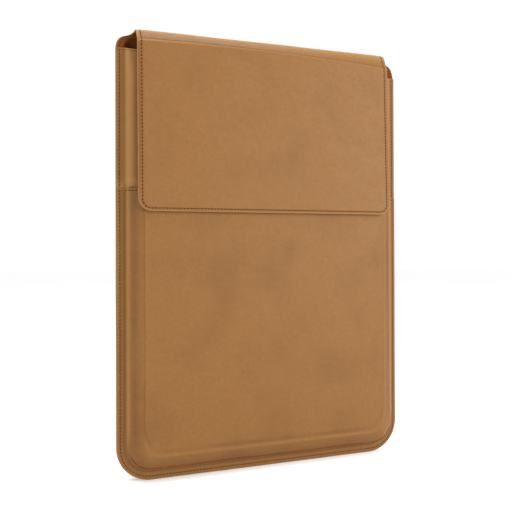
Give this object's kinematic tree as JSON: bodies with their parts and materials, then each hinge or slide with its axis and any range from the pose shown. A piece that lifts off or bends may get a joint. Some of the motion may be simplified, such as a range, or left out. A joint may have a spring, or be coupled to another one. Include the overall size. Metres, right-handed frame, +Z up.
{
  "type": "laptop sleeve",
  "caption": "Upright leather envelope sleeve for a laptop, with a lined compartment, a front accessory pocket and a magnetic flap that folds over at a creased spine.",
  "frame": {"origin": "centre of the bounding box at its bottom, on the sleeve's bottom seam edge", "axes": "+Z up towards the flap's fold, the front with the flap and pocket faces -Y, +X to the right seen from the front"},
  "size_m": [0.244, 0.0271, 0.346],
  "materials": {
    "tan_leather": "smooth fine-grained tan artificial leather with a low sheen",
    "brown_lining": "short-napped dark brown lining",
    "stiffener_board": "matt stiffener sheet",
    "brown_thread": "waxed sewing thread, a little darker than the leather",
    "magnet_steel": "plain plated metal"
  },
  "bodies": {
    "sleeve": {"back_skin": "tan_leather", "back_board": "stiffener_board", "back_lining": "brown_lining", "front_skin": "tan_leather", "front_board": "stiffener_board", "front_lining": "brown_lining", "pocket_skin": "tan_leather", "pocket_board": "stiffener_board", "pocket_lining": "brown_lining", "keeper_plate_left": "magnet_steel", "keeper_plate_right": "magnet_steel", "seam_needle_thread": "brown_thread", "seam_bobbin_thread": "brown_thread", "pocket_mouth_thread": "brown_thread"},
    "shoulder": {"shoulder_skin": "tan_leather", "shoulder_lining": "brown_lining", "shoulder_thread_left": "brown_thread", "shoulder_thread_right": "brown_thread"},
    "spine": {"spine_skin": "tan_leather", "spine_lining": "brown_lining", "spine_thread_left": "brown_thread", "spine_thread_right": "brown_thread"},
    "flap": {"flap_skin": "tan_leather", "flap_board": "stiffener_board", "flap_lining": "brown_lining", "flap_thread": "brown_thread", "flap_magnet_left": "magnet_steel", "flap_magnet_right": "magnet_steel"}
  },
  "joints": [
    {"name": "shoulder_fold", "type": "hinge", "parent": "sleeve", "child": "shoulder", "pos_m": [0, 0.01356, 0.3225], "axis": [-1, 0, 0], "range_deg": [0, 29]},
    {"name": "back_crease", "type": "hinge", "parent": "shoulder", "child": "spine", "pos_m": [0, 0.00047, 0.34611], "axis": [-1, 0, 0], "range_deg": [0, 200]},
    {"name": "front_crease", "type": "hinge", "parent": "spine", "child": "flap", "pos_m": [0, -0.00958, 0.33392], "axis": [-1, 0, 0], "range_deg": [0, 130]}
  ]
}
